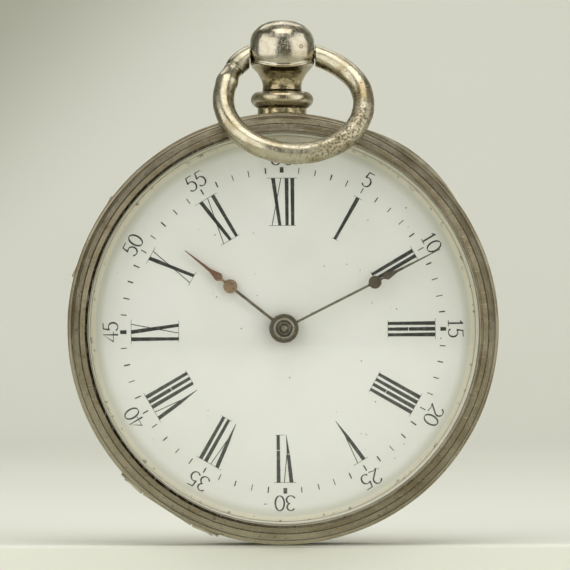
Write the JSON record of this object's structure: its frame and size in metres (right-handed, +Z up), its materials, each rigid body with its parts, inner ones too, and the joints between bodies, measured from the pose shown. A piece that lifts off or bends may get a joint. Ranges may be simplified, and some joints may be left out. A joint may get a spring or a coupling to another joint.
{
  "type": "fob watch",
  "caption": "Open-face silver fob watch with domed glass, enamel dial, hinged bezel and double back, swinging bow and key-wound bar movement.",
  "frame": {"origin": "middle of the back cover's flat outer face, on the axis of the hands", "axes": "+Y out of the back, so the dial faces -Y; +Z up through twelve o'clock and the pendant; +X towards three o'clock"},
  "size_m": [0.04, 0.0142, 0.0488],
  "materials": {
    "case_silver": "old silver, dull olive-grey tarnish with fine scratches",
    "pendant_silver": "worn bright silver with brassy pits and dents",
    "crystal_glass": "clear, slightly domed",
    "enamel": "warm white vitreous enamel with black printed numerals",
    "hour_hand_copper": "steel let down to a reddish brown",
    "minute_hand_steel": "dark brown-grey steel",
    "gilt_brass": "matt gilt",
    "wheel_brass": "polished brass",
    "steel": "polished steel",
    "blued_steel": "heat-blued steel",
    "ruby": "polished ruby"
  },
  "bodies": {
    "case": {"case_band": "case_silver", "pendant_neck": "pendant_silver", "pendant_knob": "pendant_silver", "dial": "enamel", "main_plate": "gilt_brass", "barrel_bridge": "gilt_brass", "centre_bridge": "gilt_brass", "third_bridge": "gilt_brass", "fourth_bridge": "gilt_brass", "escape_bridge": "gilt_brass", "balance_cock": "gilt_brass", "bezel_hinge_pin": "steel", "back_hinge_pin": "steel", "cuvette_hinge_pin": "steel", "click_spring": "steel", "hairspring_stud": "steel", "hairspring": "blued_steel", "click_screw": "blued_steel", "barrel_bridge_screw_left": "blued_steel", "barrel_bridge_screw_right": "blued_steel", "centre_bridge_screw": "blued_steel", "third_bridge_screw": "blued_steel", "fourth_bridge_screw": "blued_steel", "escape_bridge_screw": "blued_steel", "balance_cock_screw": "blued_steel", "case_screw_1": "blued_steel", "case_screw_2": "blued_steel", "cap_jewel": "ruby"},
    "bow": {"bow": "pendant_silver"},
    "bezel": {"bezel": "case_silver", "crystal": "crystal_glass"},
    "back": {"back_cover": "case_silver"},
    "cuvette": {"cuvette": "case_silver"},
    "hand_setting": {"setting_arbor": "steel", "cannon_pinion": "steel", "minute_hand": "minute_hand_steel"},
    "minute_wheel": {"minute_wheel": "wheel_brass"},
    "hour": {"hour_wheel": "wheel_brass", "hour_hand": "hour_hand_copper"},
    "fourth": {"fourth_wheel": "wheel_brass", "fourth_pinion": "steel"},
    "third": {"third_wheel": "wheel_brass", "third_pinion": "steel"},
    "centre": {"centre_wheel": "wheel_brass", "centre_pinion": "steel"},
    "barrel": {"barrel_drum": "wheel_brass", "barrel_cover": "wheel_brass", "mainspring": "steel"},
    "escape": {"escape_wheel": "steel", "escape_pinion": "steel"},
    "winding": {"barrel_arbor": "steel", "ratchet_wheel": "steel"},
    "click": {"click": "steel"},
    "balance": {"balance_wheel": "wheel_brass", "balance_staff": "steel"},
    "regulator": {"regulator_index": "steel"}
  },
  "joints": [
    {"name": "bow_swing", "type": "hinge", "parent": "case", "child": "bow", "pos_m": [0, -0.0056, 0.02575], "axis": [-1, 0, 0], "range_deg": [0, 275]},
    {"name": "bezel_hinge", "type": "hinge", "parent": "case", "child": "bezel", "pos_m": [-0.01059, -0.0078, -0.01643], "axis": [0.8406, 0, -0.5417], "range_deg": [0, 90]},
    {"name": "back_hinge", "type": "hinge", "parent": "case", "child": "back", "pos_m": [-0.01739, -0.0032, 0.00848], "axis": [0.4384, 0, 0.8988], "range_deg": [0, 105]},
    {"name": "cuvette_hinge", "type": "hinge", "parent": "case", "child": "cuvette", "pos_m": [-0.01667, -0.00282, 0.00813], "axis": [0.4384, 0, 0.8988], "range_deg": [0, 84]},
    {"name": "hands_turn", "type": "hinge", "parent": "case", "child": "hand_setting", "pos_m": [0, 0, 0], "axis": [0, 1, 0], "continuous": true},
    {"name": "minute_wheel_turn", "type": "hinge", "parent": "case", "child": "minute_wheel", "pos_m": [-0.00162, 0, -0.00348], "axis": [0, 1, 0], "continuous": true},
    {"name": "hour_wheel_turn", "type": "hinge", "parent": "case", "child": "hour", "pos_m": [0, 0, 0], "axis": [0, 1, 0], "continuous": true},
    {"name": "fourth_wheel_turn", "type": "hinge", "parent": "case", "child": "fourth", "pos_m": [-0.00026, 0, -0.00781], "axis": [0, 1, 0], "continuous": true},
    {"name": "third_wheel_turn", "type": "hinge", "parent": "case", "child": "third", "pos_m": [-0.0031, 0, -0.00442], "axis": [0, 1, 0], "continuous": true},
    {"name": "centre_wheel_turn", "type": "hinge", "parent": "case", "child": "centre", "pos_m": [0, 0, 0], "axis": [0, 1, 0], "continuous": true},
    {"name": "barrel_turn", "type": "hinge", "parent": "case", "child": "barrel", "pos_m": [0.00347, 0, 0.00743], "axis": [0, 1, 0], "continuous": true},
    {"name": "escape_wheel_turn", "type": "hinge", "parent": "case", "child": "escape", "pos_m": [0.00356, 0, -0.00977], "axis": [0, 1, 0], "continuous": true},
    {"name": "winding_turn", "type": "hinge", "parent": "case", "child": "winding", "pos_m": [0.00347, 0, 0.00743], "axis": [0, 1, 0], "continuous": true},
    {"name": "click_lift", "type": "hinge", "parent": "case", "child": "click", "pos_m": [-0.00024, 0, 0.00893], "axis": [0, -1, 0], "range_deg": [0, 12], "stiffness_Nm_per_rad": 0.000002},
    {"name": "balance_swing", "type": "hinge", "parent": "case", "child": "balance", "pos_m": [0.00631, 0, -0.00901], "axis": [0, 1, 0], "range_deg": [-150, 150], "stiffness_Nm_per_rad": 0.0000004},
    {"name": "regulator_shift", "type": "hinge", "parent": "case", "child": "regulator", "pos_m": [0.00631, 0, -0.00901], "axis": [0, 1, 0], "range_deg": [-25, 25]}
  ],
  "couplings": [
    {"joint": "cuvette_hinge", "follows": "back_hinge", "ratio": 0.8},
    {"joint": "minute_wheel_turn", "follows": "hands_turn", "ratio": -0.33333},
    {"joint": "hour_wheel_turn", "follows": "hands_turn", "ratio": 0.083333},
    {"joint": "third_wheel_turn", "follows": "fourth_wheel_turn", "ratio": -0.13333},
    {"joint": "centre_wheel_turn", "follows": "fourth_wheel_turn", "ratio": 0.016667},
    {"joint": "barrel_turn", "follows": "fourth_wheel_turn", "ratio": -0.0023148},
    {"joint": "escape_wheel_turn", "follows": "fourth_wheel_turn", "ratio": -10}
  ]
}
